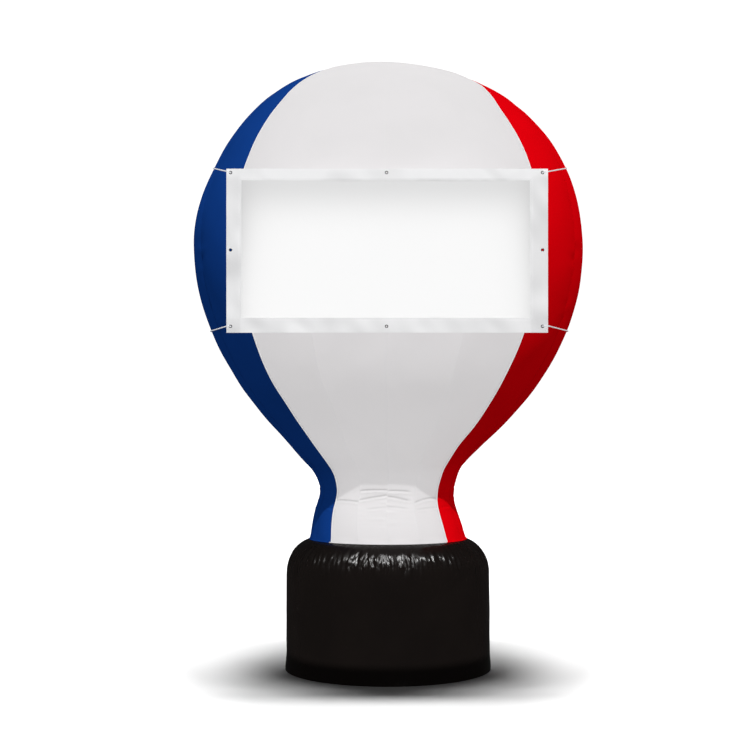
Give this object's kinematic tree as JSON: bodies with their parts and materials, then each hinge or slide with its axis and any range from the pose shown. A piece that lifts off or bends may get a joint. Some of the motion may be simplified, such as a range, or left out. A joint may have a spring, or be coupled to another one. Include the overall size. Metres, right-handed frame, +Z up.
{
  "type": "balloon-shaped advertising inflatable",
  "caption": "Cold-air inflatable shaped like a hot air balloon on a round blower drum, with coloured gores and a blank tied banner.",
  "frame": {"origin": "centre of the underside of the drum's floor, on the ground", "axes": "+Z up along the balloon's axis; the banner faces -Y; the red gores are on +X and the blue gores on -X; the blower is at the back, on +Y"},
  "size_m": [2.8002, 2.8134, 4.37],
  "materials": {
    "envelope_white": "white coated nylon, soft satin",
    "envelope_red": "red coated nylon, soft satin",
    "envelope_blue": "blue coated nylon, soft satin",
    "drum_black": "black coated nylon, glossy on its folds",
    "banner_cloth": "white banner cloth with a sewn hem",
    "eyelet_metal": "pressed metal eyelet",
    "tie_cord": "white braided cord",
    "tie_webbing": "woven webbing",
    "blower_plastic": "black moulded plastic",
    "rotor_plastic": "dark grey moulded plastic",
    "guard_steel": "coated steel wire",
    "motor_metal": "painted motor casing"
  },
  "bodies": {
    "balloon": {"crown_disc": "envelope_white", "gore_front_1": "envelope_white", "gore_front_2": "envelope_white", "gore_front_3": "envelope_white", "gore_front_4": "envelope_white", "gore_right_1": "envelope_red", "gore_right_2": "envelope_red", "gore_right_3": "envelope_red", "gore_right_4": "envelope_red", "gore_rear_1": "envelope_white", "gore_rear_2": "envelope_white", "gore_rear_3": "envelope_white", "gore_rear_4": "envelope_white", "gore_left_1": "envelope_blue", "gore_left_2": "envelope_blue", "gore_left_3": "envelope_blue", "gore_left_4": "envelope_blue", "drum_lid_front": "drum_black", "drum_lid_rear": "drum_black", "drum_side_front": "drum_black", "drum_side_rear": "drum_black", "drum_floor": "drum_black", "banner": "banner_cloth", "eyelet_top_left": "eyelet_metal", "eyelet_top_middle": "eyelet_metal", "eyelet_top_right": "eyelet_metal", "eyelet_middle_left": "eyelet_metal", "eyelet_middle_right": "eyelet_metal", "eyelet_bottom_left": "eyelet_metal", "eyelet_bottom_middle": "eyelet_metal", "eyelet_bottom_right": "eyelet_metal", "tie_top_left": "tie_cord", "tie_top_right": "tie_cord", "tie_bottom_left": "tie_cord", "tie_bottom_right": "tie_cord", "tie_loop_top_left": "tie_webbing", "tie_loop_top_right": "tie_webbing", "tie_loop_bottom_left": "tie_webbing", "tie_loop_bottom_right": "tie_webbing", "blower_sleeve": "drum_black", "blower_duct": "blower_plastic", "blower_motor": "motor_metal", "blower_guard": "guard_steel", "blower_cradle": "blower_plastic", "power_inlet": "blower_plastic"},
    "rotor": {"blower_rotor": "rotor_plastic"}
  },
  "joints": [
    {"name": "rotor_spin", "type": "hinge", "parent": "balloon", "child": "rotor", "pos_m": [0, 0.697, 0.36], "axis": [0, 1, 0], "continuous": true}
  ]
}
